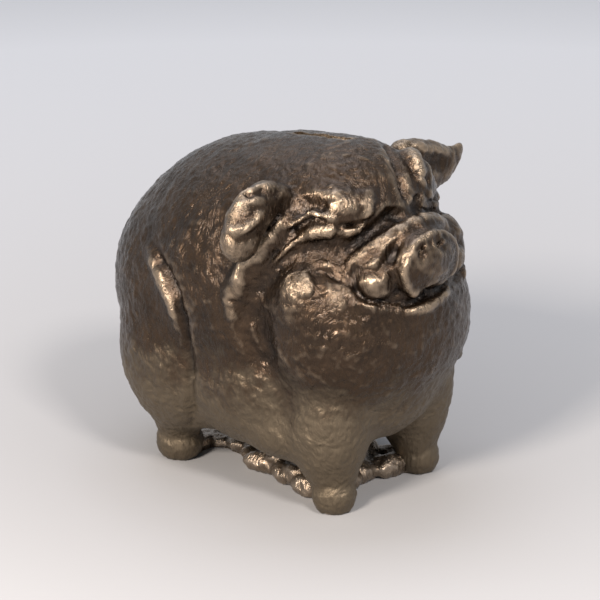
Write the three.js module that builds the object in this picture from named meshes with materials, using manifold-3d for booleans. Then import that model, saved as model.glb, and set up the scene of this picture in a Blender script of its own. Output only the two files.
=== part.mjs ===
// Cast iron pig bank: two hollow cast halves held by two long screws, standing on a rough
// cast ground plate, with a coin slot in the back and a swinging coin trap under the belly.
// Millimetres, +Z up. The pig looks along -Y and its right side is at -X. The origin is on
// the ground, under the middle of the overall box.
import * as THREE from "three";
import { mergeVertices } from "three/addons/utils/BufferGeometryUtils.js";
import Module from "manifold-3d";

const wasm = await Module();
wasm.setup();

// ---- Driving dimensions ----
const WALL = 5; // thickness of the castings
const GAP = 0.3; // play between pieces that touch
const PLATE_THICKNESS = 6.5; // ground plate between the feet
const BELLY_LAND_Z = 20; // flat of the belly that the trap cover closes against

const SLOT = { width: 5, length: 34, y: -21 }; // coin slot along the ridge of the back

const TRAP = { y: -8, holeRadius: 16, coverRadius: 20, coverThickness: 2, lobeRadius: 6.5 };
const TRAP_PIVOT = { x: 10.5, y: TRAP.y + 18.2 };
const TRAP_LOCK = { x: -10.5, y: TRAP.y - 18.2 };

const SMALL_SHANK = 2; // radius of the base, pivot and thumb screws
const JOINING_SHANK = 2.5; // radius of the screws that hold the halves together
const JOINING_HEAD = { radius: 5.5, height: 3.6 };
const JOINING_BOSS_RADIUS = 8;
// Each joining screw: its place, its head's seat on the left and its tip in the right half.
const JOINING_SCREWS = [
  { name: "front_joining_screw", y: -73, z: 66, seatX: 38, tipX: -30 },
  { name: "rear_joining_screw", y: 65, z: 64, seatX: 50, tipX: -36 },
];

const FRONT_FOOT = { x: 33, y: -58 };
const REAR_FOOT = { x: 34, y: 46 };
const LUG_RADIUS = 7.5; // plate lugs under the feet
const BASE_SCREW_LENGTH = 22;

// The casting's masses on the midline, each an ellipsoid: centre and radii.
// A mass with hollow: true is cored out, one wall thickness smaller.
const MIDLINE_MASSES = [
  { name: "barrel", at: [0, 7, 100], radii: [66, 84, 70], hollow: true },
  { name: "rump", at: [0, 38, 92], radii: [63, 59, 64], hollow: true },
  { name: "neck", at: [0, -22, 114], radii: [60, 52, 61], hollow: true },
  { name: "jowl", at: [0, -51, 88], radii: [60, 44, 50], hollow: true },
  { name: "head", at: [0, -38, 134], radii: [46, 38, 42], hollow: true },
  { name: "belly", at: [0, -3, 60], radii: [62, 68, 50], hollow: true, flat: true },
  { name: "chest", at: [0, -51, 65], radii: [40, 36, 38], hollow: true },
  { name: "muzzle", at: [0, -72, 123], radii: [27, 20, 22] },
  { name: "chin", at: [0, -71, 94], radii: [36, 25, 30] },
];
// The masses that come in pairs, given for the left side; the right side mirrors them.
const PAIRED_MASSES = [
  { name: "ham", at: [37, 39, 63], radii: [28, 37, 46], hollow: true },
  { name: "hind_leg", at: [34, 46, 22], radii: [12, 13, 22] },
  { name: "hind_foot", at: [34, 46, 8], radii: [11.5, 13, 11.5] },
  { name: "armpit", at: [36, -28, 38], radii: [18, 26, 18] },
  { name: "shoulder", at: [32, -54, 50], radii: [20.5, 22, 42], hollow: true },
  { name: "fore_leg", at: [31.5, -56, 26], radii: [13, 14, 26] },
  { name: "fore_foot", at: [33, -58, 8], radii: [11.5, 11.5, 11.5] },
  { name: "cheek", at: [41, -50, 104], radii: [20, 19, 22] },
  { name: "brow", at: [25, -50, 144], radii: [19, 17, 17] },
  { name: "nose_fold", at: [26, -72, 122], radii: [12, 13, 16] },
];
// The ears differ: the right one droops and the left one stands out with a turned-up tip.
const EAR_MASSES = [
  { name: "right_ear", at: [-60.5, -32, 149.5], radii: [24, 9.5, 15], turn: [0, -30, 0] },
  { name: "left_ear", at: [57, -42, 152], radii: [24, 7, 16] },
  { name: "left_ear_tip", at: [73.7, -44, 155], radii: [9.5, 4, 5], turn: [0, -25, 0] },
];

const FAR = 150; // past the outside of the bank in every direction

// ---- Solids from three.js geometry ----
function solidOf(geometry) {
  geometry.deleteAttribute("normal");
  geometry.deleteAttribute("uv");
  const merged = mergeVertices(geometry, 1e-4);
  return new wasm.Manifold(
    new wasm.Mesh({
      numProp: 3,
      vertProperties: new Float32Array(merged.attributes.position.array),
      triVerts: new Uint32Array(merged.index.array),
    }),
  );
}

function meshOf(name, solid, material) {
  const { vertProperties, triVerts } = solid.getMesh();
  const geometry = new THREE.BufferGeometry()
    .setAttribute("position", new THREE.BufferAttribute(vertProperties, 3))
    .setIndex(new THREE.BufferAttribute(triVerts, 1));
  geometry.computeVertexNormals();
  const mesh = new THREE.Mesh(geometry, material);
  mesh.name = name;
  return mesh;
}

const joined = (solids) => solids.reduce((whole, next) => whole.add(next));

// An ellipsoid, finer the larger it is, and cut off level with the belly's land where it is
// flat. An inset makes the plainer core, one wall smaller.
function ellipsoid({ at, radii, turn = [0, 0, 0], flat = false }, inset = 0) {
  const outerSides = Math.max(...radii) > 40 ? 32 : 14;
  const across = inset > 0 ? 20 : outerSides;
  const geometry = new THREE.SphereGeometry(1, across, Math.round(across * 0.6));
  geometry.rotateX(Math.PI / 2);
  geometry.scale(...radii.map((radius) => radius - inset));
  const [x, y, z] = turn.map(THREE.MathUtils.degToRad);
  geometry.applyMatrix4(new THREE.Matrix4().makeRotationFromEuler(new THREE.Euler(x, y, z)));
  geometry.translate(...at);
  const solid = solidOf(geometry);
  return flat ? solid.subtract(block(-FAR, FAR, -FAR, FAR, -FAR, BELLY_LAND_Z + inset)) : solid;
}

function mirrored(mass) {
  const [x, y, z] = mass.at;
  return { ...mass, at: [-x, y, z] };
}

function block(x0, x1, y0, y1, z0, z1) {
  const geometry = new THREE.BoxGeometry(x1 - x0, y1 - y0, z1 - z0);
  geometry.translate((x0 + x1) / 2, (y0 + y1) / 2, (z0 + z1) / 2);
  return solidOf(geometry);
}

// A round bar along Z from z0 to z1, tapering where two radii are given.
function uprightBar(x, y, z0, z1, radius, topRadius = radius, sides = 16) {
  const geometry = new THREE.CylinderGeometry(topRadius, radius, z1 - z0, sides);
  geometry.rotateX(Math.PI / 2);
  geometry.translate(x, y, (z0 + z1) / 2);
  return solidOf(geometry);
}

// A round bar along X from x0 to x1.
function crossBar(x0, x1, y, z, radius, sides = 16) {
  const geometry = new THREE.CylinderGeometry(radius, radius, x1 - x0, sides);
  geometry.rotateZ(Math.PI / 2);
  geometry.translate((x0 + x1) / 2, y, z);
  return solidOf(geometry);
}

// ---- The two cast halves ----
const BODY_MASSES = [...MIDLINE_MASSES, ...PAIRED_MASSES, ...PAIRED_MASSES.map(mirrored)];

function casting() {
  const masses = [...BODY_MASSES, ...EAR_MASSES].map((mass) => ellipsoid(mass));
  return joined([...masses, snoutDisc()]).subtract(
    block(-FAR, FAR, -FAR, FAR, -FAR, 0),
  );
}

// The flat round nose, with its two nostrils sunk into it.
function snoutDisc() {
  const disc = new THREE.CylinderGeometry(1, 1, 12, 32);
  disc.scale(19, 1, 17.5);
  disc.translate(-5, -91, 126);
  const nostrils = [-13.5, -0.5].map((x) =>
    ellipsoid({ at: [x, -98, 135], radii: [2.4, 4, 3.4] }),
  );
  return solidOf(disc).subtract(joined(nostrils));
}

// The hollow for the coins, with a boss left standing across it for each joining screw.
function coinChamber() {
  const cores = BODY_MASSES.filter((mass) => mass.hollow).map((mass) => ellipsoid(mass, WALL));
  const floor = block(-FAR, FAR, -FAR, FAR, -FAR, BELLY_LAND_Z + WALL);
  const bosses = JOINING_SCREWS.map(({ y, z }) => crossBar(-FAR, FAR, y, z, JOINING_BOSS_RADIUS));
  return joined(cores).subtract(floor).subtract(joined(bosses));
}

function coinSlot() {
  const { width, length, y } = SLOT;
  return block(-width / 2, width / 2, y - length / 2, y + length / 2, 140, FAR * 2);
}

// Everything cut from the casting for the screws, the trap and the plate's lugs.
function machiningCuts() {
  const joining = JOINING_SCREWS.flatMap(({ y, z, seatX, tipX }) => [
    crossBar(tipX - 2, seatX + 1, y, z, JOINING_SHANK + GAP),
    crossBar(seatX, FAR, y, z, JOINING_HEAD.radius + 1),
  ]);
  const trap = [
    uprightBar(0, TRAP.y, BELLY_LAND_Z - 1, 40, TRAP.holeRadius, TRAP.holeRadius, 32),
    uprightBar(TRAP_PIVOT.x, TRAP_PIVOT.y, BELLY_LAND_Z - 1, 27, SMALL_SHANK + GAP),
    uprightBar(TRAP_LOCK.x, TRAP_LOCK.y, BELLY_LAND_Z - 1, 27, SMALL_SHANK + GAP),
  ];
  const feet = footPlaces().map(({ x, y }) =>
    uprightBar(x, y, -1, BASE_SCREW_LENGTH + 1.5, SMALL_SHANK + GAP),
  );
  return joined([...joining, ...trap, ...feet, plateBlank(GAP)]);
}

function castHalves() {
  const whole = casting().subtract(coinChamber()).subtract(coinSlot()).subtract(machiningCuts());
  return {
    right: whole.subtract(block(-GAP / 2, FAR, -FAR, FAR, -1, FAR * 2)),
    left: whole.subtract(block(-FAR, GAP / 2, -FAR, FAR, -1, FAR * 2)),
  };
}

// ---- The ground plate ----
function footPlaces() {
  return [FRONT_FOOT, REAR_FOOT].flatMap(({ x, y }) => [
    { x: -x, y },
    { x, y },
  ]);
}

// The plate's ragged outline with its four lugs, grown on every side by an allowance.
function plateBlank(allowance = 0) {
  const leftEdge = [
    [0, -46], [15, -48], [27, -60], [34, -52], [29, -32], [24, -17], [20.5, -2],
    [22, 8], [15, 19], [12, 32], [17, 40], [31, 40], [31, 53], [13, 50], [0, 52],
  ].map(([x, y]) => new THREE.Vector2(x, y));
  const rightEdge = leftEdge.slice(1, -1).reverse().map(({ x, y }) => new THREE.Vector2(-x, y));
  const outline = new THREE.Shape([...leftEdge, ...rightEdge]);
  const middle = new THREE.ExtrudeGeometry(outline, {
    depth: PLATE_THICKNESS + allowance,
    bevelEnabled: allowance > 0,
    bevelThickness: 0.001,
    bevelSize: allowance,
    bevelSegments: 1,
  });
  const lugs = footPlaces().map(({ x, y }) =>
    uprightBar(x, y, 0, PLATE_THICKNESS + allowance, LUG_RADIUS + allowance),
  );
  return joined([solidOf(middle), ...lugs]);
}

function groundPlate() {
  const window = uprightBar(0, TRAP.y, -1, 10, 17, 17, 32);
  const screwHoles = footPlaces().flatMap(({ x, y }) => [
    uprightBar(x, y, -1, PLATE_THICKNESS + 1, SMALL_SHANK + GAP),
    uprightBar(x, y, -0.01, 3, 4.6, SMALL_SHANK + GAP),
  ]);
  return plateBlank().subtract(joined([window, ...screwHoles]));
}

// ---- Screws ----
// A screw standing on the axis with its head down, turned from one profile.
function turned(profile, sides = 16) {
  const geometry = new THREE.LatheGeometry(
    profile.map(([radius, z]) => new THREE.Vector2(radius, z)),
    sides,
  );
  geometry.rotateX(Math.PI / 2);
  return solidOf(geometry);
}

function driverSlot(radius, depth) {
  return block(-radius, radius, -0.5, 0.5, -1, depth);
}

function baseScrew() {
  const body = turned([
    [0, 0.3],
    [4, 0.3],
    [SMALL_SHANK, 2.7],
    [SMALL_SHANK, BASE_SCREW_LENGTH],
    [0, BASE_SCREW_LENGTH],
  ]);
  return body.subtract(driverSlot(5, 1.3));
}

function joiningScrew({ seatX, tipX }) {
  const { radius, height } = JOINING_HEAD;
  const length = seatX - tipX;
  const body = turned([
    [0, 0],
    [radius - 1, 0],
    [radius, 1],
    [radius, height],
    [JOINING_SHANK, height],
    [JOINING_SHANK, height + length],
    [0, height + length],
  ]);
  return body.subtract(driverSlot(radius + 1, 1.4));
}

// ---- Coin trap ----
const COVER_TOP_Z = BELLY_LAND_Z - GAP;
const COVER_BOTTOM_Z = COVER_TOP_Z - TRAP.coverThickness;

// A disc with a lobe round the pivot screw and a hooked lobe that catches the thumb screw.
function trapCover() {
  const { y, coverRadius, lobeRadius } = TRAP;
  const lobe = ({ x, y: lobeY }) =>
    uprightBar(x, lobeY, COVER_BOTTOM_Z, COVER_TOP_Z, lobeRadius);
  const plate = uprightBar(0, y, COVER_BOTTOM_Z, COVER_TOP_Z, coverRadius, coverRadius, 40);
  const pivotHole = uprightBar(TRAP_PIVOT.x, TRAP_PIVOT.y, 10, 25, SMALL_SHANK + GAP);
  const hookEnd = uprightBar(TRAP_LOCK.x, TRAP_LOCK.y, 10, 25, SMALL_SHANK + 0.6);
  const hookMouth = new THREE.BoxGeometry(2 * (SMALL_SHANK + 0.9), 14, 15);
  hookMouth.translate(0, 7, COVER_BOTTOM_Z);
  hookMouth.rotateZ(Math.atan2(TRAP_PIVOT.y - TRAP_LOCK.y, TRAP_PIVOT.x - TRAP_LOCK.x));
  hookMouth.translate(TRAP_LOCK.x, TRAP_LOCK.y, 0);
  return joined([plate, lobe(TRAP_PIVOT), lobe(TRAP_LOCK)])
    .subtract(pivotHole)
    .subtract(hookEnd)
    .subtract(solidOf(hookMouth));
}

function pivotScrew() {
  const top = 26 - (COVER_BOTTOM_Z - GAP);
  const body = turned([
    [0, -2.2],
    [4.2, -2.2],
    [5, -1.4],
    [5, 0],
    [SMALL_SHANK, 0],
    [SMALL_SHANK, top],
    [0, top],
  ]);
  return body.subtract(block(-6, 6, -0.5, 0.5, -3, -1.2));
}

// The thumb screw's head is ribbed so that fingertips can turn it.
function thumbScrew() {
  const top = 26 - (COVER_BOTTOM_Z - GAP);
  const head = turned([
    [0, -8],
    [6.2, -8],
    [7, -7.2],
    [7, -1.6],
    [6.2, -0.8],
    [3.4, -0.8],
    [3.4, 0],
    [SMALL_SHANK, 0],
    [SMALL_SHANK, top],
    [0, top],
  ], 24);
  const ribs = 12;
  const grooves = Array.from({ length: ribs }, (_, i) => {
    const angle = (2 * Math.PI * (i + 0.5)) / ribs;
    return uprightBar(7.5 * Math.cos(angle), 7.5 * Math.sin(angle), -9, -0.5, 1, 1, 8);
  });
  return head.subtract(joined(grooves));
}

// ---- Materials ----
const paintedIron = (color) =>
  new THREE.MeshStandardMaterial({ color, roughness: 0.35, metalness: 0.8 });
const bronzePaint = paintedIron(0x5a4534);
const platePaint = paintedIron(0x4a3a2c);
const steel = new THREE.MeshStandardMaterial({ color: 0x8d8a84, roughness: 0.4, metalness: 1 });
const brass = new THREE.MeshStandardMaterial({ color: 0xa98a4a, roughness: 0.35, metalness: 1 });

// ---- Assembly ----
const bank = new THREE.Group();
const halves = castHalves();
bank.add(meshOf("right_body_shell", halves.right, bronzePaint.clone()));
bank.add(meshOf("left_body_shell", halves.left, bronzePaint.clone()));
bank.add(meshOf("base_slab", groundPlate(), platePaint));

for (const screw of JOINING_SCREWS) {
  const mesh = meshOf(screw.name, joiningScrew(screw), steel.clone());
  mesh.rotation.y = -Math.PI / 2;
  mesh.position.set(screw.seatX + GAP + JOINING_HEAD.height, screw.y, screw.z);
  bank.add(mesh);
}

for (const [end, foot] of [["front", FRONT_FOOT], ["rear", REAR_FOOT]]) {
  for (const [side, sign] of [["right", -1], ["left", 1]]) {
    const mesh = meshOf(`base_screw_${end}_${side}`, baseScrew(), steel.clone());
    mesh.position.set(sign * foot.x, foot.y, 0);
    bank.add(mesh);
  }
}

bank.add(meshOf("trap_cover", trapCover(), steel.clone()));

const pivot = meshOf("trap_pivot_screw", pivotScrew(), steel.clone());
pivot.position.set(TRAP_PIVOT.x, TRAP_PIVOT.y, COVER_BOTTOM_Z - GAP);
bank.add(pivot);

const thumb = meshOf("trap_thumb_screw", thumbScrew(), brass);
thumb.position.set(TRAP_LOCK.x, TRAP_LOCK.y, COVER_BOTTOM_Z - GAP);
bank.add(thumb);

export default bank;
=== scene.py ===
"""A cast iron pig bank painted bronze: two hollow cast halves screwed together on a rough ground plate."""

import math

import bmesh
import bpy
import numpy as np
from mathutils import Matrix, Vector, noise


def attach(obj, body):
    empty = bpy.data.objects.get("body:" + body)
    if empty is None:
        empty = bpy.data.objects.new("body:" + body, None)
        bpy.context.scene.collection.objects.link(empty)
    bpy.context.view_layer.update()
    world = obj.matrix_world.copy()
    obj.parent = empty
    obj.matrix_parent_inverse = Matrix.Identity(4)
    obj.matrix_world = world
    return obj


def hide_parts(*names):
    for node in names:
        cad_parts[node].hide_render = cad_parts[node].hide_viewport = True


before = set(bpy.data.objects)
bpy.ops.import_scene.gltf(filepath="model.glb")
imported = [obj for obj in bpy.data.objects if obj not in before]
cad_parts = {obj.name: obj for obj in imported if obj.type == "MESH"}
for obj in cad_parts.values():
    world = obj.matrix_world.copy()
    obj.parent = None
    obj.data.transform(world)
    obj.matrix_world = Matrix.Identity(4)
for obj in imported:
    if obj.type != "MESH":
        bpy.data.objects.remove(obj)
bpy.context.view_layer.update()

MM = 0.001

# ---------------------------------------------------------------- camera
# A long lens a metre away, to the pig's right of its face and a little above it.
LOOK_AT = Vector((0, -0.007, 0.0875))
VIEW_TURN = math.radians(-48.5)
VIEW_RISE = math.radians(18.5)
VIEW_DISTANCE = 1.0
SENSOR_WIDTH, LENS_LENGTH = 36, 120

camera_data = bpy.data.cameras.new("camera")
camera_data.sensor_width = SENSOR_WIDTH
camera_data.lens = LENS_LENGTH
camera_data.clip_start = 0.01
camera = bpy.data.objects.new("camera", camera_data)
bpy.context.scene.collection.objects.link(camera)
towards_camera = Vector((
    math.sin(VIEW_TURN) * math.cos(VIEW_RISE),
    -math.cos(VIEW_TURN) * math.cos(VIEW_RISE),
    math.sin(VIEW_RISE),
))
camera.location = LOOK_AT + VIEW_DISTANCE * towards_camera
camera.rotation_euler = (-towards_camera).to_track_quat("-Z", "Y").to_euler()
bpy.context.scene.camera = camera

# ---------------------------------------------------------------- studio
# A plain pale floor with painted shade that darkens it near the bank, and three soft lights: a large cool
# one overhead and two small warm ones, to the left of the camera and to the right of it.
def srgb(hex_colour):
    """A #rrggbb colour as the linear RGBA that Blender's sockets take."""
    channels = [int(hex_colour[i : i + 2], 16) / 255 for i in (1, 3, 5)]
    return [c / 12.92 if c <= 0.04045 else ((c + 0.055) / 1.055) ** 2.4 for c in channels] + [1]


def add(tree, kind, settings=None, **sockets):
    """Adds one node; a socket takes a value or another node's output."""
    node = tree.nodes.new(kind)
    for key, value in (settings or {}).items():
        setattr(node, key, value)
    for name, value in sockets.items():
        key = int(name[1:]) if name[1:].isdigit() else name.replace("_", " ")
        socket = node.inputs[key]
        if isinstance(value, bpy.types.NodeSocket):
            tree.links.new(value, socket)
        else:
            socket.default_value = value
    return node


def new_material(name):
    material = bpy.data.materials.new(name)
    material.use_nodes = True
    material.node_tree.nodes.clear()
    return material, material.node_tree


def new_object(name, mesh):
    piece = bpy.data.objects.new(name, mesh)
    bpy.context.scene.collection.objects.link(piece)
    return piece


def object_from(name, bm):
    mesh = bpy.data.meshes.new(name)
    bm.to_mesh(mesh)
    bm.free()
    return new_object(name, mesh)


FLOOR_REACH = 3


def make_floor():
    bm = bmesh.new()
    bmesh.ops.create_grid(bm, x_segments=1, y_segments=1, size=FLOOR_REACH)
    floor = object_from("studio_floor", bm)
    material, tree = new_material("pale_paper_sweep")
    place = add(tree, "ShaderNodeTexCoord").outputs["Object"]
    reach = add(tree, "ShaderNodeVectorMath", {"operation": "LENGTH"}, _0=place)
    # Painted shade: the paper's colour is darker near the bank and lighter farther out.
    near_shade_ramp = add(
        tree, "ShaderNodeMapRange", Value=reach.outputs["Value"], From_Min=0.1, From_Max=1.1
    )
    shaded_paper_tone = add(
        tree, "ShaderNodeMix", {"data_type": "RGBA"},
        _0=near_shade_ramp.outputs[0], _6=srgb("#8e8e90"), _7=srgb("#cfd0d4"),
    )
    fibre = add(tree, "ShaderNodeTexNoise", Vector=place, Scale=900, Detail=3)
    nap = add(tree, "ShaderNodeBump", Strength=0.1, Distance=0.0002, Height=fibre.outputs["Fac"])
    paper = add(
        tree, "ShaderNodeBsdfPrincipled",
        Base_Color=shaded_paper_tone.outputs[2], Roughness=0.8, Normal=nap.outputs[0],
    )
    add(tree, "ShaderNodeOutputMaterial", Surface=paper.outputs[0])
    floor.data.materials.append(material)


make_floor()


def add_softbox(name, turn, rise, distance, size, watts, colour):
    light = bpy.data.lights.new(name, "AREA")
    light.shape = "RECTANGLE"
    light.size, light.size_y = size
    light.energy = watts
    light.color = srgb(colour)[:3]
    lamp = bpy.data.objects.new(name, light)
    bpy.context.scene.collection.objects.link(lamp)
    a, e = math.radians(turn), math.radians(rise)
    away = Vector((math.sin(a) * math.cos(e), -math.cos(a) * math.cos(e), math.sin(e)))
    lamp.location = LOOK_AT + distance * away
    lamp.rotation_euler = (-away).to_track_quat("-Z", "Y").to_euler()


add_softbox("overhead_softbox", 150, 74, 1.3, (0.8, 0.6), 8, "#f4f6ff")
add_softbox("key_softbox", -80, 32, 1.2, (0.24, 0.24), 24, "#fff2e4")
add_softbox("front_softbox", -22, 45, 1.2, (0.22, 0.22), 13, "#fff6ee")

world = bpy.data.worlds.new("studio_air")
world.use_nodes = True
world.node_tree.nodes["Background"].inputs["Color"].default_value = srgb("#f2f5fa")
world.node_tree.nodes["Background"].inputs["Strength"].default_value = 0.7
bpy.context.scene.world = world
bpy.context.scene.view_settings.view_transform = "Standard"

# ---------------------------------------------------------------- ground plate
# The ragged plate that the pig stands on: cast iron poured in a rough open mould, so its top is
# lumpy and its edge uneven. Lugs run in under the four feet, and a window leaves room for the trap.
PLATE_THICKNESS = 6.5
FEET = [(-33, -58), (33, -58), (-34, 46), (34, 46)]
LUG_RADIUS = 7.5
TRAP_MIDDLE = (0, -8)
PLATE_EDGE = [
    (0, -46), (15, -48), (27, -60), (34, -52), (29, -32), (24, -17), (20.5, -2),
    (22, 8), (15, 19), (12, 32), (17, 40), (31, 40), (31, 53), (13, 50), (0, 52),
]
# The finish of the poured iron: each layer of marks is a size and a height.
PLATE_MARKS = [(9, 1.1), (4, 0.7), (2, 0.35)]
PLATE_GRAIN = 0.8
PLATE_SOFTENING = 4
FOOT_PLAY = 0.3
WINDOW_RADIUS = 17
SCREW_HOLE_RADIUS = 2.3
SINK_RADIUS, SINK_DEPTH, SINK_MIDDLE = 4.9, 3, 1.4
# Lumps left by the pour: place, then radii.
PLATE_LUMPS = [
    ((9, -36, 7), (9, 6.5, 7)), ((21, -32, 7), (7, 8, 7)), ((1, -42, 6), (8, 5, 7)),
    ((-24, -26, 6), (5, 10, 6)), ((-20, -6, 6), (4.5, 10, 6)), ((22, -18, 8), (6, 10, 7)),
    ((21, 2, 7), (5, 9, 6)), ((20, -51, 4), (12, 7, 6.5)), ((4, -46, 4), (14, 5.5, 6)),
    ((-12, -47, 4), (13, 6, 6)),
    ((-28, -52, 4), (6, 9, 5.5)), ((-27, -38, 4), (7, 11, 6)), ((-23, -20, 4), (6, 11, 5.5)),
    ((-22, 0, 4), (4.5, 12, 5)), ((28, -42, 4), (6, 11, 5.5)), ((23, -18, 4), (5.5, 12, 5)),
    ((-27, -44, 6), (6, 7, 3.2)), ((-24, -33, 5.5), (5, 6, 3)), ((-22, -22, 5), (4, 6, 3)),
    ((-20, -10, 4.5), (3.5, 6, 3.2)), ((-20.5, 2, 4), (3.5, 5, 3.6)), ((-16, 14, 4.5), (5, 5, 3)),
    ((-12, 25, 5), (5, 6, 2.8)), ((-13, 36, 4.5), (5, 6, 3)), ((-22, 44, 4), (7, 5, 3.4)),
    ((-14, -47, 5.5), (6, 4.5, 3.6)), ((-4, -45, 6), (6, 4.5, 3.6)), ((6, -46, 5.5), (6, 4.5, 3.8)),
    ((15, -47, 6), (6, 5, 4)), ((23, -53, 6), (6, 5.5, 4)), ((27, -44, 6), (5, 6, 3)),
    ((24, -30, 5), (5, 6, 3)), ((22, -16, 4.5), (4, 6, 3)), ((20, 2, 4.5), (4, 6, 3)),
    ((15, 16, 5), (5, 5, 3)), ((11, 30, 5), (5, 6, 3)), ((16, 44, 4.5), (6, 5, 3)),
    ((0, 46, 4.5), (7, 5, 3)),
    ((0, -40, 6), (5, 4, 4.4)), ((10, -40, 6), (5, 4.5, 4.6)), ((-10, -41, 6.5), (4, 3.5, 3.4)),
]


def add_mass(bm, at, radii, turn=(0, 0, 0)):
    made = bmesh.ops.create_icosphere(bm, subdivisions=4, radius=1)
    bmesh.ops.scale(bm, vec=Vector(radii) * MM, verts=made["verts"])
    for axis, degrees in zip("XYZ", turn):
        bmesh.ops.rotate(
            bm, verts=made["verts"], matrix=Matrix.Rotation(math.radians(degrees), 3, axis)
        )
    bmesh.ops.translate(bm, vec=Vector(at) * MM, verts=made["verts"])


def fused(piece, voxel, rounds):
    """The piece's overlapping masses as one smoothed skin; the piece itself goes."""
    remesh = piece.modifiers.new("fuse", "REMESH")
    remesh.mode = "VOXEL"
    remesh.voxel_size = voxel * MM
    soften = piece.modifiers.new("soften", "SMOOTH")
    soften.iterations = rounds
    soften.factor = 0.6
    depsgraph = bpy.context.evaluated_depsgraph_get()
    mesh = bpy.data.meshes.new_from_object(piece.evaluated_get(depsgraph))
    bpy.data.objects.remove(piece)
    return mesh


def add_cylinder(bm, at, radius, height, sides=64, axis="Z"):
    made = bmesh.ops.create_cone(
        bm,
        cap_ends=True,
        segments=sides,
        radius1=radius * MM,
        radius2=radius * MM,
        depth=height * MM,
    )["verts"]
    if axis == "X":
        bmesh.ops.rotate(bm, verts=made, matrix=Matrix.Rotation(math.radians(90), 3, "Y"))
    bmesh.ops.translate(bm, vec=Vector(at) * MM, verts=made)


def add_block(bm, low, high):
    made = bmesh.ops.create_cube(bm, size=1)["verts"]
    size = [h - l for l, h in zip(low, high)]
    middle = [(l + h) / 2 for l, h in zip(low, high)]
    bmesh.ops.scale(bm, vec=Vector(size) * MM, verts=made)
    bmesh.ops.translate(bm, vec=Vector(middle) * MM, verts=made)


def carve(piece, tool, operation="DIFFERENCE"):
    """Cuts the tool out of the piece, or joins or keeps the two, and removes the tool."""
    boolean = piece.modifiers.new("carve", "BOOLEAN")
    boolean.object = tool
    boolean.operation = operation
    boolean.solver = "MANIFOLD"
    depsgraph = bpy.context.evaluated_depsgraph_get()
    mesh = bpy.data.meshes.new_from_object(piece.evaluated_get(depsgraph))
    piece.modifiers.clear()
    piece.data = mesh
    bpy.data.objects.remove(tool)


def roughen(mesh, layers):
    """Lifts and sinks the surface by noise; each layer is a lump size and a height in mm."""
    for vert, normal in zip(mesh.vertices, [n.vector.copy() for n in mesh.vertex_normals]):
        lift = sum(
            noise.noise(vert.co / (size * MM) + Vector((shift, 0, 0))) * height
            for shift, (size, height) in enumerate(layers)
        )
        vert.co += normal * lift * MM
    mesh.update()


def keep_above_floor(mesh):
    for vert in mesh.vertices:
        vert.co.z = max(vert.co.z, 0)


def plate_clay():
    bm = bmesh.new()
    rim = PLATE_EDGE + [(-x, y) for x, y in reversed(PLATE_EDGE[1:-1])]
    base = bm.faces.new([bm.verts.new(Vector((x, y, 0)) * MM) for x, y in rim])
    raised = bmesh.ops.extrude_face_region(bm, geom=[base])["geom"]
    bmesh.ops.translate(
        bm,
        vec=(0, 0, PLATE_THICKNESS * MM),
        verts=[part for part in raised if isinstance(part, bmesh.types.BMVert)],
    )
    bmesh.ops.recalc_face_normals(bm, faces=bm.faces)
    for x, y in FEET:
        add_cylinder(bm, (x, y, PLATE_THICKNESS / 2), LUG_RADIUS, PLATE_THICKNESS)
    for at, radii in PLATE_LUMPS:
        add_mass(bm, at, radii)
    return fused(object_from("plate_clay", bm), PLATE_GRAIN, PLATE_SOFTENING)


plate = new_object("ground_plate", plate_clay())
roughen(plate.data, PLATE_MARKS)
keep_above_floor(plate.data)


def plate_cutter():
    """The plate as cast, grown by the play between it and the feet."""
    cutter = new_object("plate_cutter", plate.data.copy())
    for vert in cutter.data.vertices:
        x, y, z = vert.normal
        vert.co += Vector((x, y, max(z, 0))) * FOOT_PLAY * MM
        if vert.co.z < 0.5 * MM:
            vert.co.z = -1 * MM
    return cutter


foot_seat = plate_cutter()

bm = bmesh.new()
add_cylinder(bm, (*TRAP_MIDDLE, 5), WINDOW_RADIUS, 14)
for x, y in FEET:
    add_cylinder(bm, (x, y, 5), SCREW_HOLE_RADIUS, 14, sides=32)
    sink = bmesh.ops.create_cone(
        bm,
        cap_ends=True,
        segments=48,
        radius1=SINK_RADIUS * MM,
        radius2=SCREW_HOLE_RADIUS * MM,
        depth=SINK_DEPTH * MM,
    )["verts"]
    bmesh.ops.translate(bm, vec=Vector((x, y, SINK_MIDDLE)) * MM, verts=sink)
carve(plate, object_from("plate_tools", bm))


def add_relief(mesh, rounds=30):
    """Stores how far each point stands above the surface round it, in mm, as the relief attribute."""
    count = len(mesh.vertices)
    coords = np.empty(count * 3)
    mesh.vertices.foreach_get("co", coords)
    coords = coords.reshape(-1, 3)
    normals = np.empty(count * 3, dtype=np.float32)
    mesh.vertex_normals.foreach_get("vector", normals)
    ends = np.empty(len(mesh.edges) * 2, dtype=np.int32)
    mesh.edges.foreach_get("vertices", ends)
    first, second = ends[::2], ends[1::2]
    links = np.maximum(np.bincount(ends, minlength=count), 1)
    level = coords.copy()
    for _ in range(rounds):
        level = np.stack([
            (np.bincount(first, level[second, k], count) + np.bincount(second, level[first, k], count))
            / links
            for k in range(3)
        ], axis=1)
    relief = ((coords - level) * normals.reshape(-1, 3)).sum(axis=1) / MM
    mesh.attributes.new("relief", "FLOAT", "POINT").data.foreach_set("value", relief.astype(np.float32))


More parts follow.
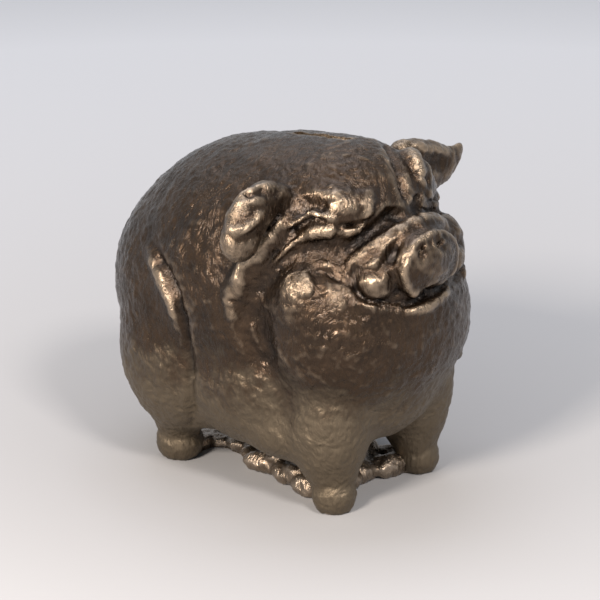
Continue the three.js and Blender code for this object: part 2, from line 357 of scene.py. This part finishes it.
def painted_iron(name, dark, bronze, wear_highlight_tint, matt_below):
    """Bronze paint brushed on a rough iron casting: glossy and metallic, with painted shade in the
    grooves, high spots lightened partly as rubbed wear and partly as painted highlight, and bristle marks
    about 2 mm apart; the paint is greyer and matt near the ground."""
    material, tree = new_material(name)
    place = add(tree, "ShaderNodeTexCoord").outputs["Object"]
    drift = add(tree, "ShaderNodeTexNoise", Vector=place, Scale=38, Detail=2)
    drifted = add(
        tree, "ShaderNodeVectorMath", {"operation": "MULTIPLY_ADD"},
        _0=drift.outputs["Color"], _1=(0.02, 0.02, 0.02), _2=place,
    )
    strokes = add(tree, "ShaderNodeMapping", Vector=drifted.outputs[0], Scale=(1, 1.15, 0.42))
    bristles = add(
        tree, "ShaderNodeTexNoise", Vector=strokes.outputs[0], Scale=520, Detail=4, Roughness=0.62
    )
    dimples = add(
        tree, "ShaderNodeTexVoronoi", {"feature": "SMOOTH_F1"}, Vector=drifted.outputs[0], Scale=300
    )
    height = add(
        tree, "ShaderNodeMath", {"operation": "MULTIPLY_ADD"},
        _0=dimples.outputs["Distance"], _1=0.7, _2=bristles.outputs["Fac"],
    )
    bump = add(tree, "ShaderNodeBump", Strength=0.8, Distance=0.0009, Height=height.outputs[0])

    relief = add(tree, "ShaderNodeAttribute", {"attribute_name": "relief"}).outputs["Fac"]
    patches = add(tree, "ShaderNodeTexNoise", Vector=place, Scale=70, Detail=6, Roughness=0.7)
    cover = add(
        tree, "ShaderNodeMapRange", Value=patches.outputs["Fac"], From_Min=0.25, From_Max=0.85
    )
    base = add(
        tree, "ShaderNodeMix", {"data_type": "RGBA"},
        _0=cover.outputs[0], _6=srgb(dark), _7=srgb(bronze),
    )
    # High spots get a lighter colour: partly rubbed wear of the paint, partly painted highlight on the
    # raised spots.
    height_mask = add(tree, "ShaderNodeMapRange", Value=relief, From_Min=0.3, From_Max=1.2)
    wear_and_highlight_mask = add(
        tree, "ShaderNodeMath", {"operation": "MULTIPLY"},
        _0=height_mask.outputs[0], _1=bristles.outputs["Fac"],
    )
    wear_and_highlight_colour = add(
        tree, "ShaderNodeMix", {"data_type": "RGBA"},
        _0=wear_and_highlight_mask.outputs[0], _6=base.outputs[2], _7=srgb(wear_highlight_tint),
    )
    # Painted shade: the deeper grooves are darkened towards near black.
    groove_shade_mask = add(tree, "ShaderNodeMapRange", Value=relief, From_Min=-0.25, From_Max=-1.8)
    groove_shaded_colour = add(
        tree, "ShaderNodeMix", {"data_type": "RGBA"},
        _0=groove_shade_mask.outputs[0], _6=wear_and_highlight_colour.outputs[2], _7=srgb("#1d1611"),
    )

    level = add(tree, "ShaderNodeSeparateXYZ", Vector=place)
    ragged = add(
        tree, "ShaderNodeMath", {"operation": "MULTIPLY_ADD"},
        _0=patches.outputs["Fac"], _1=0.08, _2=level.outputs["Z"],
    )
    matt = add(
        tree, "ShaderNodeMapRange",
        Value=ragged.outputs[0], From_Min=matt_below + 0.03, From_Max=matt_below,
    )
    faded = add(
        tree, "ShaderNodeMix", {"data_type": "RGBA"},
        _0=matt.outputs[0], _6=groove_shaded_colour.outputs[2], _7=srgb("#635849"),
    )
    gloss = add(
        tree, "ShaderNodeMapRange",
        Value=bristles.outputs["Fac"], From_Min=0.3, From_Max=0.7, To_Min=0.22, To_Max=0.36,
    )
    roughness = add(
        tree, "ShaderNodeMath", {"operation": "MULTIPLY_ADD"},
        _0=matt.outputs[0], _1=0.22, _2=gloss.outputs[0],
    )
    varnish = add(
        tree, "ShaderNodeMapRange", Value=matt.outputs[0], To_Min=0.2, To_Max=0.02
    )
    shader = add(
        tree, "ShaderNodeBsdfPrincipled",
        Base_Color=faded.outputs[2], Metallic=0.85, Roughness=roughness.outputs[0],
        Normal=bump.outputs[0], Coat_Weight=varnish.outputs[0], Coat_Roughness=0.12,
        Coat_Normal=bump.outputs[0],
    )
    add(tree, "ShaderNodeOutputMaterial", Surface=shader.outputs[0])
    return material


plate_paint = painted_iron("bronze_painted_rough_plate", "#564a3e", "#8d7d6c", "#ab9c8c", -0.1)


def finish_casting(piece, material, node):
    piece.data.shade_smooth()
    piece.data.set_sharp_from_angle(angle=math.radians(50))
    piece.data.materials.clear()
    piece.data.materials.append(material)
    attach(piece, "bank")
    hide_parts(node)


add_relief(plate.data)
finish_casting(plate, plate_paint, "base_slab")

# ---------------------------------------------------------------- casting
# The pig itself: grey iron cast in two hollow halves from one carved pattern, and painted bronze. It
# is modelled whole, as fused masses with folds and marks pressed in like clay, then cored and parted.
BELLY_FLAT = 20
BODY_GRAIN, BODY_SOFTENING = 3, 14
CASTING_GRAIN, CASTING_SOFTENING = (0.96), 8
CASTING_MARKS = [(14, 0.5), (5, 0.36), (2.6, 0.4)]

# Masses: place, then radii.
BARREL = ((0, -3, 60), (62, 68, 50))
BODY = [
    ((0, 7, 100), (66, 84, 70)),
    ((0, 38, 92), (63, 59, 64)),
    ((0, -8, 109), (62, 62, 64.5)),
    ((0, -22, 114), (60, 52, 61)),
    ((0, -51, 88), (60, 44, 50)),
    ((0, -38, 134), (46, 38, 42)),
    ((0, -51, 65), (40, 36, 38)),
    ((0, -71, 94), (36, 25, 30)),
    ((0, -66, 124), (30, 20, 24)),
    ((30, -70, 122), (14, 14, 18)),
]
BODY_PAIRS = [
    ((37, 39, 63), (28, 37, 46)),
    ((36, -28, 38), (18, 26, 18)),
    ((32, -54, 50), (20.5, 22, 42)),
    ((31.5, -56, 26), (13, 14, 26)),
    ((34, 46, 22), (12, 13, 22)),
    ((41, -50, 104), (20, 19, 22)),
    ((25, -50, 144), (19, 17, 17)),
]


def add_pair(bm, at, radii, turn=(0, 0, 0)):
    x, y, z = at
    turn_x, turn_y, turn_z = turn
    add_mass(bm, at, radii, turn)
    add_mass(bm, (-x, y, z), radii, (turn_x, -turn_y, -turn_z))


def body_clay():
    bm = bmesh.new()
    add_mass(bm, *BARREL)
    for vert in bm.verts:
        vert.co.z = max(vert.co.z, BELLY_FLAT * MM)
    for at, radii in BODY:
        add_mass(bm, at, radii)
    for at, radii in BODY_PAIRS:
        add_pair(bm, at, radii)
    return fused(object_from("body_clay", bm), BODY_GRAIN, BODY_SOFTENING)


def add_limb(bm, stations, steps=5):
    """Masses along a line that overlap into one limb or fold; a station is a place, then radii."""
    for (at_a, radii_a), (at_b, radii_b) in zip(stations, stations[1:]):
        for step in range(steps):
            share = step / steps
            at = Vector(at_a).lerp(Vector(at_b), share)
            radii = Vector(radii_a).lerp(Vector(radii_b), share)
            add_mass(bm, at, radii)
    add_mass(bm, *stations[-1])


def add_limb_pair(bm, stations):
    add_limb(bm, stations)
    add_limb(bm, [((-x, y, z), radii) for (x, y, z), radii in stations])


RIGHT_EAR = [
    ((-45, -31, 154), (10, 8, 7)),
    ((-53, -31, 154), (10.5, 8, 10)),
    ((-61, -32, 151), (11, 8, 12)),
    ((-68, -33, 146), (11, 8, 12.5)),
    ((-72, -34, 140.5), (10.5, 8, 10.5)),
]
LEFT_EAR = [
    ((40, -38, 149), (10, 9, 19)),
    ((49, -41, 150), (9, 7, 17)),
    ((58, -43, 151.5), (8, 5, 13.5)),
    ((67, -44, 151), (7, 4, 9.5)),
    ((75, -44, 153), (5, 3.5, 6)),
    ((79.5, -44, 157), (3, 2.6, 3)),
]
NOSE_FOLD = [
    ((32, -67, 125), (5, 5, 5)),
    ((27, -71, 129.5), (6.3, 6.3, 6.3)),
    ((20, -76, 134), (6.4, 6.4, 6.4)),
    ((12, -79.5, 138.5), (5.8, 5.8, 5.8)),
    ((3, -81, 141), (5, 5, 5)),
]


def add_snout(bm):
    """The round nose: a thick disc, cut off below where the mouth opens, and domed a little."""
    disc = bmesh.new()
    bmesh.ops.create_cone(
        disc, cap_ends=True, segments=64, radius1=1, radius2=1, depth=8 * MM
    )
    bmesh.ops.rotate(disc, verts=disc.verts, matrix=Matrix.Rotation(math.radians(90), 3, "X"))
    bmesh.ops.scale(disc, vec=(21 * MM, 1, 16.8 * MM), verts=disc.verts)
    bmesh.ops.translate(disc, vec=Vector((-3, -89, 124.5)) * MM, verts=disc.verts)
    cut = bmesh.ops.bisect_plane(
        disc,
        geom=disc.verts[:] + disc.edges[:] + disc.faces[:],
        plane_co=Vector((-4, -89, 111.5)) * MM,
        plane_no=(0.2, 0, -1),
        clear_outer=True,
    )
    bmesh.ops.edgeloop_fill(
        disc, edges=[part for part in cut["geom_cut"] if isinstance(part, bmesh.types.BMEdge)]
    )
    bmesh.ops.recalc_face_normals(disc, faces=disc.faces)
    add_copy(bm, disc)
    add_mass(bm, (-3, -89, 126), (19.5, 8, 14.5))


def add_copy(bm, other):
    mesh = bpy.data.meshes.new("part")
    other.to_mesh(mesh)
    other.free()
    bm.from_mesh(mesh)
    bpy.data.meshes.remove(mesh)


def whole_clay():
    bm = bmesh.new()
    bm.from_mesh(body_clay())
    add_mass(bm, (-3, -80, 124), (16, 12, 14))
    add_snout(bm)
    add_pair(bm, (34, 46, 8), (11.5, 13, 11.5))
    add_pair(bm, (33, -58, 8), (11, 11, 11.5))
    add_pair(bm, (26, -77, 118), (11, 9, 11.5))
    add_pair(bm, (23, -75, 120), (13, 11, 14))
    add_mass(bm, (-3, -80, 124), (22, 9, 15))
    add_mass(bm, (23, -56, 159), (9, 10, 10))
    add_limb_pair(bm, NOSE_FOLD)
    add_limb(bm, RIGHT_EAR)
    add_limb(bm, LEFT_EAR)
    mesh = fused(object_from("whole_clay", bm), CASTING_GRAIN, CASTING_SOFTENING)
    keep_above_floor(mesh)
    return mesh


# Strokes pressed into the clay: height in mm (a groove is negative), width, then the places. Many
# of the places were found by casting rays at the clay with a helper script, then moved by hand.
LARGE_FOLDS = [
    (3, 12, [(-37, -53, 156), (-25, -65, 153), (-18, -69, 150)]),
    (-3.2, 7, [(-43, -44, 152), (-40, -50, 154), (-38, -58, 152)]),
    (2.5, 15, [(-54, -53, 119)]),
    (2, 14, [(-45, -69, 114)]),
    (-2.6, 8, [(-37, -63, 136), (-46, -52, 132), (-52, -43, 127), (-57, -35, 116), (-60, -29, 106)]),
    (-3, 13, [(-60, -28, 106), (-59, -31, 95), (-58, -33, 84), (-55, -40, 74)]),
    (2.5, 10, [(-60, -24, 119), (-62, -20, 106)]),
    (3.5, 6.5, [(-43, -40, 151), (-51, -37, 141), (-57, -30, 129), (-59, -24, 122), (-61, -21, 113)]),
    (-3.5, 5, [(-31, -66, 135), (-22, -71, 141), (-12, -73, 147), (-2, -76, 146)]),
    (-1.6, 4, [(-34, -73, 123), (-29, -80, 125), (-23, -81, 128), (-18, -83, 136)]),
    (2.2, 6, [(-58, 41, 118), (-61, 33, 112), (-63, 26, 105), (-64, 19, 96), (-63, 16, 85)]),
]
SMALL_FOLDS = [
    (2.3, 3, [(-48, -41, 142), (-46, -43, 144), (-42, -50, 150), (-40, -58, 149), (-37, -62, 147)]),
    (2.8, 5, [(-45, -50, 140), (-43, -54, 142), (-40, -59, 143), (-37, -62, 142)]),
    (1.5, 2.6, [(-45, -49, 139), (-49, -45, 136), (-52, -42, 131), (-56, -38, 125)]),
    (1.5, 3.5, [(-34, -64, 141), (-30, -66, 142), (-26, -68, 143)]),
    (1.3, 4, [(-43, -57, 128), (-39, -63, 125), (-37, -69, 121)]),
    (1.4, 3.5, [(-38, -77, 112), (-36, -80, 110), (-32, -83, 108)]),
    (-1.2, 5, [(-46, -56, 125), (-49, -61, 119), (-51, -65, 111)]),
    (1.6, 5, [(-63, -16, 109), (-62, -18, 103), (-62, -20, 95)]),
    (1.6, 4, [(-59, -28, 95), (-58, -30, 87), (-55, -33, 79)]),
]
CREASES = [
    (-1.8, 2.2, [(-48, -42, 141), (-46, -45, 142), (-43, -51, 147), (-40, -57, 148)]),
    (-1.6, 2.4, [(-45, -47, 141), (-49, -44, 137), (-53, -40, 132), (-56, -36, 125)]),
    (-1.8, 3, [(-35, -63, 145), (-30, -66, 144), (-25, -68, 145), (-19, -70, 147)]),
    (-1, 3, [(-45, -57, 125), (-42, -63, 122), (-40, -68, 118)]),
    (-2.2, 3, [(-36, -73, 121), (-38, -74, 117), (-36, -79, 113), (-30, -84, 111), (-19, -88, 109)]),
    (-3.5, 6, [(-59, 34, 119), (-63, 23, 112), (-65, 15, 102), (-64, 11, 90), (-62, 12, 76),
               (-60, 12, 58), (-54, 16, 39), (-47, 24, 26)]),
]
RIGHT_EAR_FOLDS = [
    (1.3, 3.5, [(-72, -31, 159), (-67, -32, 163), (-60, -35, 166), (-51, -37, 165)]),
    (-1.7, 3.2, [(-69, -34, 161), (-64, -36, 163), (-57, -38, 164)]),
    (1.2, 3, [(-74, -33, 157), (-70, -36, 160), (-62, -39, 158)]),
    (1.4, 3.5, [(-80, -34, 148), (-79, -38, 147), (-75, -41, 148), (-69, -42, 150), (-62, -41, 154)]),
    (-1, 4, [(-81, -37, 143), (-76, -42, 143), (-68, -43, 146)]),
]
LEFT_EAR_FOLDS = [
    (1.4, 4, [(42, -42, 166), (49, -46, 162), (60, -47, 159), (70, -47, 156)]),
    (-2.5, 7, [(47, -47, 158), (55, -48, 155), (65, -48, 153)]),
    (1.6, 5, [(27, -54, 168), (21, -62, 161), (18, -68, 153)]),
    (-1.4, 3.5, [(31, -50, 168), (25, -59, 160), (21, -67, 151)]),
    (2.4, 5, [(13, -70, 146), (19, -69, 144)]),
]
TAIL_CURL = [
    (3, 4, [(0, 96, 118), (-1, 97, 110), (2, 96, 103), (8, 95, 101), (12, 94, 106), (9, 95, 112),
            (4, 96, 111)]),
]
LEFT_BROW_CREASES = [
    (-3.5, 6, [(16, -46, 172), (11, -56, 169), (6, -64, 164), (3, -69, 158), (1, -72, 151)]),
    (-2, 4, [(8, -71, 150), (14, -69, 150)]),
]
NOSTRIL_RIMS = [
    (0.9, 6, [(-14, -95, 136), (-13.5, -96, 134)]),
    (0.9, 6, [(-1, -96, 136), (-0.5, -97, 134)]),
]
NOSTRILS = [
    (-4.5, 4.6, [(-14, -95, 136), (-13.5, -96, 134)]),
    (-4.5, 4.2, [(-1, -96, 136.5), (-0.5, -97, 134.5)]),
]
MOUTH_GROOVES = [
    (-2, 3, [(-21, -87, 108), (-14, -91, 109), (-4, -93, 110), (8, -92, 112), (16, -88, 114)]),
    (-4, 4, [(-13, -94, 109.5), (-2, -94, 112)]),
]
LOWER_LIP = [
    (1.8, 3.5, [(-18, -89, 104), (-9, -94, 105), (2, -95, 107), (12, -92, 109)]),
]


def mirrored(strokes):
    return strokes + [
        (height, width, [(-x, y, z) for x, y, z in places]) for height, width, places in strokes
    ]


def press(mesh, strokes, sharp=False):
    """Moves the surface along its normals under each stroke, which fades at its ends and sides."""
    coords = np.empty(len(mesh.vertices) * 3)
    mesh.vertices.foreach_get("co", coords)
    coords = coords.reshape(-1, 3)
    normals = np.empty(len(mesh.vertices) * 3, dtype=np.float32)
    mesh.vertex_normals.foreach_get("vector", normals)
    normals = normals.reshape(-1, 3)
    moved = coords.copy()
    for height, width, places in strokes:
        reach = width * MM
        nearest = [
            np.argmin(((coords - np.array(place) * MM) ** 2).sum(axis=1)) for place in places
        ]
        path = coords[nearest]
        facing = normals[nearest].mean(axis=0)
        near = np.flatnonzero(
            (coords > path.min(axis=0) - reach).all(axis=1)
            & (coords < path.max(axis=0) + reach).all(axis=1)
            & (normals @ facing > 0)
        )
        distance, share = path_distance(coords[near], path)
        away = np.clip(distance / reach, 0, 1)
        profile = (1 - away) ** 2 if sharp else (1 - away**2) ** 2
        ends = np.clip(0.3 + 4 * np.minimum(share, 1 - share), 0, 1) if len(path) > 1 else 1
        moved[near] += normals[near] * (height * MM * profile * ends)[:, None]
    mesh.vertices.foreach_set("co", moved.ravel())
    mesh.update()


def path_distance(points, path):
    """Each point's distance to a path, and how far along the path it is, from 0 to 1."""
    if len(path) == 1:
        return np.linalg.norm(points - path[0], axis=1), np.zeros(len(points))
    distance = np.full(len(points), np.inf)
    share = np.zeros(len(points))
    for index, (start, end) in enumerate(zip(path, path[1:])):
        along = end - start
        t = np.clip((points - start) @ along / max(along @ along, 1e-12), 0, 1)
        here = np.linalg.norm(points - start - t[:, None] * along, axis=1)
        closer = here < distance
        distance[closer] = here[closer]
        share[closer] = (index + t[closer]) / (len(path) - 1)
    return distance, share


casting = new_object("casting", whole_clay())
press(casting.data, mirrored(LARGE_FOLDS))
press(
    casting.data,
    mirrored(SMALL_FOLDS) + LOWER_LIP + RIGHT_EAR_FOLDS + LEFT_EAR_FOLDS + NOSTRIL_RIMS,
)
press(casting.data, TAIL_CURL)
press(casting.data, mirrored(CREASES) + LEFT_BROW_CREASES, sharp=True)
press(casting.data, MOUTH_GROOVES + NOSTRILS)
# Tool marks of the pattern, cast with it.
roughen(casting.data, CASTING_MARKS)
keep_above_floor(casting.data)


WALL = 5
CORED = [BARREL] + BODY[:7]
CORED_PAIRS = [BODY_PAIRS[0], BODY_PAIRS[2]]
CORE_GRAIN, CORE_SOFTENING = 3, 6
BOSS_RADIUS = 8
COIN_HOLE_RADIUS = 16
SCREW_PASSAGE_RADIUS = 2.8
COUNTERBORE_RADIUS, COUNTERBORE_LENGTH = 6.5, 60
# Joining screws: name, y and z of the axis, x of the head's seat on the left, x of the tip.
JOINING_SCREWS = [
    ("front_joining_screw", -73, 66, 38, -30),
    ("rear_joining_screw", 65, 64, 50, -36),
]
TRAP_PIVOT = (10.5, 10.2)
TRAP_LOCK = (-10.5, -26.2)
SLOT_WIDTH, SLOT_LENGTH, SLOT_MIDDLE = 5, 34, -21


def chamber_tool():
    """The hollow that holds the coins, one wall inside the skin, with the screw bosses left."""
    bm = bmesh.new()
    for at, radii in CORED:
        add_mass(bm, at, [radius - WALL for radius in radii])
    for at, radii in CORED_PAIRS:
        add_pair(bm, at, [radius - WALL for radius in radii])
    hollow = new_object("hollow", fused(object_from("core_clay", bm), CORE_GRAIN, CORE_SOFTENING))
    bm = bmesh.new()
    add_block(bm, (-90, -110, -10), (90, 110, BELLY_FLAT + WALL))
    for _, y, z, _, _ in JOINING_SCREWS:
        add_cylinder(bm, (0, y, z), BOSS_RADIUS, 200, sides=48, axis="X")
    carve(hollow, object_from("core_trims", bm))
    return hollow


bm = bmesh.new()
add_block(
    bm,
    (-SLOT_WIDTH / 2, SLOT_MIDDLE - SLOT_LENGTH / 2, 140),
    (SLOT_WIDTH / 2, SLOT_MIDDLE + SLOT_LENGTH / 2, 200),
)
add_cylinder(bm, (*TRAP_MIDDLE, 30), COIN_HOLE_RADIUS, 22, sides=96)
for x, y in (TRAP_PIVOT, TRAP_LOCK):
    add_cylinder(bm, (x, y, 23), SCREW_HOLE_RADIUS, 8, sides=32)
for x, y in FEET:
    add_cylinder(bm, (x, y, 11), SCREW_HOLE_RADIUS, 25, sides=32)
for _, y, z, seat, tip in JOINING_SCREWS:
    add_cylinder(
        bm, ((seat + tip) / 2, y, z), SCREW_PASSAGE_RADIUS, seat - tip + 4, sides=32, axis="X"
    )
    add_cylinder(
        bm, (seat + COUNTERBORE_LENGTH / 2, y, z), COUNTERBORE_RADIUS, COUNTERBORE_LENGTH,
        sides=48, axis="X",
    )
carve(casting, chamber_tool())
carve(casting, object_from("drills", bm))
carve(casting, foot_seat)


def half_of(name, low, high):
    """The casting without the block from low to high."""
    piece = new_object(name, casting.data.copy())
    bm = bmesh.new()
    add_block(bm, low, high)
    carve(piece, object_from("saw", bm))
    piece.data.validate()
    return piece


# The relief is taken before the halves are parted, so their seam isn't lightened by the rubbed wear and
# painted highlight.
add_relief(casting.data)

# The paint fills the seam between the halves, so they meet almost without a gap.
right_half = half_of("right_half_casting", (-0.01, -150, -10), (150, 150, 250))
left_half = half_of("left_half_casting", (-150, -150, -10), (0.01, 150, 250))
bpy.data.objects.remove(casting)

body_paint = painted_iron("bronze_painted_cast_iron", "#20170f", "#493828", "#ab9882", 0.085)
finish_casting(right_half, body_paint, "right_body_shell")
finish_casting(left_half, body_paint, "left_body_shell")

# ---------------------------------------------------------------- joining screws
# Two long machine screws, turned from steel bar and tarnished brown-grey, pull the halves together
# from the left flank. Their slotted cheese heads sit sunk in round counterbores.
HEAD_HEIGHT, HEAD_FACE, HEAD_RADIUS, SHANK_RADIUS = 3.6, 3.9, 5.5, 2.5
SLOT_BOTTOM, SAW_HALF_WIDTH = 2.5, 0.5


def turned(profile, at, sides=64, lie_along_x=False):
    """A closed profile of radius and height in mm, spun round the upright axis."""
    bm = bmesh.new()
    line = [bm.verts.new(Vector((radius, 0, height)) * MM) for radius, height in profile]
    edges = [bm.edges.new(pair) for pair in zip(line, line[1:])]
    bmesh.ops.spin(
        bm, geom=line + edges, cent=(0, 0, 0), axis=(0, 0, 1), angle=2 * math.pi,
        steps=sides, use_merge=True,
    )
    bmesh.ops.remove_doubles(bm, verts=bm.verts, dist=1e-6)
    bmesh.ops.recalc_face_normals(bm, faces=bm.faces)
    if lie_along_x:
        turn = Matrix.Rotation(math.radians(-90), 3, "Y")
        bmesh.ops.rotate(bm, verts=bm.verts, matrix=turn)
    bmesh.ops.translate(bm, vec=Vector(at) * MM, verts=bm.verts)
    return bm


def worked_metal(name, light, dark, ring_spacing, roughness):
    """Bare worked metal: fine lathe or rolling lines, and brown stains that dull it in places."""
    material, tree = new_material(name)
    place = add(tree, "ShaderNodeTexCoord").outputs["Object"]
    lines = add(
        tree, "ShaderNodeTexNoise", Vector=place, Scale=1 / (ring_spacing * MM), Detail=3
    )
    stains = add(tree, "ShaderNodeTexNoise", Vector=place, Scale=180, Detail=6, Roughness=0.65)
    spread = add(tree, "ShaderNodeMapRange", Value=stains.outputs["Fac"], From_Min=0.4, From_Max=0.7)
    colour = add(
        tree, "ShaderNodeMix", {"data_type": "RGBA"},
        _0=spread.outputs[0], _6=srgb(light), _7=srgb(dark),
    )
    rough = add(
        tree, "ShaderNodeMapRange",
        Value=stains.outputs["Fac"], To_Min=roughness - 0.12, To_Max=roughness + 0.18,
    )
    bump = add(tree, "ShaderNodeBump", Strength=0.35, Distance=0.0001, Height=lines.outputs["Fac"])
    shader = add(
        tree, "ShaderNodeBsdfPrincipled",
        Base_Color=colour.outputs[2], Metallic=1.0, Roughness=rough.outputs[0],
        Normal=bump.outputs[0],
    )
    add(tree, "ShaderNodeOutputMaterial", Surface=shader.outputs[0])
    return material


screw_steel = worked_metal("tarnished_screw_steel", "#7d776e", "#4a4138", 0.25, 0.38)


def finish_metal(piece, material, body, node, edge=0.15):
    """Breaks the sharp edges, then gives the piece its metal and its place in the frame."""
    bevel = piece.modifiers.new("broken_edges", "BEVEL")
    bevel.width = edge * MM
    bevel.segments = 2
    bevel.limit_method = "ANGLE"
    bevel.angle_limit = math.radians(35)
    piece.data.materials.clear()
    piece.data.materials.append(material)
    piece.data.shade_smooth()
    piece.data.set_sharp_from_angle(angle=math.radians(35))
    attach(piece, body)
    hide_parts(node)


def cut_driver_slot(piece, low, high):
    bm = bmesh.new()
    add_block(bm, low, high)
    carve(piece, object_from("slot_saw", bm))


for name, y, z, seat, tip in JOINING_SCREWS:
    length = seat - tip
    screw = object_from(name + "_piece", turned(
        [(0, 0), (4.2, 0), (5.0, 0.25), (5.4, 0.9), (HEAD_RADIUS, 1.2), (HEAD_RADIUS, HEAD_HEIGHT),
         (SHANK_RADIUS, HEAD_HEIGHT), (SHANK_RADIUS, HEAD_HEIGHT + length - 1),
         (1.7, HEAD_HEIGHT + length), (0, HEAD_HEIGHT + length)],
        (seat + HEAD_FACE, y, z), lie_along_x=True,
    ))
    cut_driver_slot(
        screw,
        (seat + SLOT_BOTTOM, y - 8, z - SAW_HALF_WIDTH),
        (seat + 5, y + 8, z + SAW_HALF_WIDTH),
    )
    finish_metal(screw, screw_steel, "bank", name)

# ---------------------------------------------------------------- base screws
# Four countersunk steel screws come up through the plate's lugs into the feet, from below.
BASE_SCREWS = [
    "base_screw_front_right", "base_screw_front_left",
    "base_screw_rear_right", "base_screw_rear_left",
]
for name, (x, y) in zip(BASE_SCREWS, FEET):
    screw = object_from(name + "_piece", turned(
        [(0, 0.3), (3.8, 0.3), (4, 0.5), (2, 2.7), (2, 21.2), (1.3, 22), (0, 22)],
        (x, y, 0), sides=48,
    ))
    cut_driver_slot(
        screw, (x - 5, y - SAW_HALF_WIDTH, -0.5), (x + 5, y + SAW_HALF_WIDTH, 1.3)
    )
    finish_metal(screw, screw_steel, "bank", name)

# ---------------------------------------------------------------- coin trap cover
# A disc stamped from 2 mm steel sheet closes the coin hole. One lobe turns on the pivot screw and
# the other ends in a hook that catches the thumb screw.
COVER_BOTTOM, COVER_TOP = 17.7, 19.7
COVER_MIDDLE = (COVER_BOTTOM + COVER_TOP) / 2
COVER_RADIUS, LOBE_RADIUS, HOOK_RADIUS = 20, 6.5, 2.6
MOUTH_WIDTH, MOUTH_LENGTH, PUNCH_HEIGHT = 5.8, 14, 8


def cover_piece():
    def blank(at, radius, sides=64):
        bm = bmesh.new()
        add_cylinder(bm, (*at, COVER_MIDDLE), radius, COVER_TOP - COVER_BOTTOM, sides=sides)
        return object_from("blank", bm)

    cover = blank(TRAP_MIDDLE, COVER_RADIUS, sides=128)
    for lobe in (TRAP_PIVOT, TRAP_LOCK):
        carve(cover, blank(lobe, LOBE_RADIUS), "UNION")
    bm = bmesh.new()
    add_cylinder(bm, (*TRAP_PIVOT, COVER_MIDDLE), SCREW_HOLE_RADIUS, PUNCH_HEIGHT)
    add_cylinder(bm, (*TRAP_LOCK, COVER_MIDDLE), HOOK_RADIUS, PUNCH_HEIGHT)
    carve(cover, object_from("punches", bm))
    bm = bmesh.new()
    mouth = bmesh.ops.create_cube(bm, size=1)["verts"]
    size = Vector((MOUTH_WIDTH, MOUTH_LENGTH, PUNCH_HEIGHT))
    bmesh.ops.scale(bm, vec=size * MM, verts=mouth)
    bmesh.ops.translate(bm, vec=Vector((0, MOUTH_LENGTH / 2, 0)) * MM, verts=mouth)
    across = math.atan2(TRAP_PIVOT[1] - TRAP_LOCK[1], TRAP_PIVOT[0] - TRAP_LOCK[0])
    bmesh.ops.rotate(bm, verts=mouth, matrix=Matrix.Rotation(across, 3, "Z"))
    bmesh.ops.translate(bm, vec=Vector((*TRAP_LOCK, COVER_MIDDLE)) * MM, verts=mouth)
    carve(cover, object_from("mouth_punch", bm))
    return cover


cover = cover_piece()
cover.name = "trap_cover_sheet"
sheet_steel = worked_metal("rolled_sheet_steel", "#8f8b84", "#5c4f43", 0.6, 0.42)
finish_metal(cover, sheet_steel, "cover", "trap_cover", edge=0.3)

# ---------------------------------------------------------------- trap pivot screw
# The cover's pivot: a low cheese-headed steel screw into the belly, tight enough to hold the cover.
HEAD_SEAT = 17.4
pivot = object_from("trap_pivot_screw_piece", turned(
    [(0, -2.2), (3.9, -2.2), (4.6, -1.95), (5, -1.4), (5, 0), (2, 0), (2, 8), (1.4, 8.6), (0, 8.6)],
    (*TRAP_PIVOT, HEAD_SEAT),
))
x, y = TRAP_PIVOT
cut_driver_slot(
    pivot,
    (x - 6, y - SAW_HALF_WIDTH, HEAD_SEAT - 3),
    (x + 6, y + SAW_HALF_WIDTH, HEAD_SEAT - 1.2),
)
finish_metal(pivot, screw_steel, "bank", "trap_pivot_screw")

# ---------------------------------------------------------------- trap thumb screw
# A brass thumb screw, its head milled with twelve deep flutes for fingertips. Loosened, it lets the
# hook of the cover slide out from under it.
thumb = object_from("trap_thumb_screw_piece", turned(
    [(0, -7.7), (2.4, -8), (6.0, -8), (6.7, -7.7), (7, -7.2), (7, -1.6), (6.7, -1.1), (6.2, -0.8),
     (3.4, -0.8), (3.4, 0), (2, 0), (2, 8), (1.4, 8.6), (0, 8.6)],
    (*TRAP_LOCK, HEAD_SEAT), sides=96,
))
FLUTES, FLUTE_RING, FLUTE_RADIUS = 12, 7.5, 1
bm = bmesh.new()
for flute in range(FLUTES):
    turn = 2 * math.pi * (flute + 0.5) / FLUTES
    x = TRAP_LOCK[0] + FLUTE_RING * math.cos(turn)
    y = TRAP_LOCK[1] + FLUTE_RING * math.sin(turn)
    add_cylinder(bm, (x, y, HEAD_SEAT - 4.75), FLUTE_RADIUS, 8.5, sides=24)
carve(thumb, object_from("flute_cutters", bm))
turned_brass = worked_metal("turned_brass", "#b8975a", "#7a5f35", 0.25, 0.32)
finish_metal(thumb, turned_brass, "thumb_screw", "trap_thumb_screw")
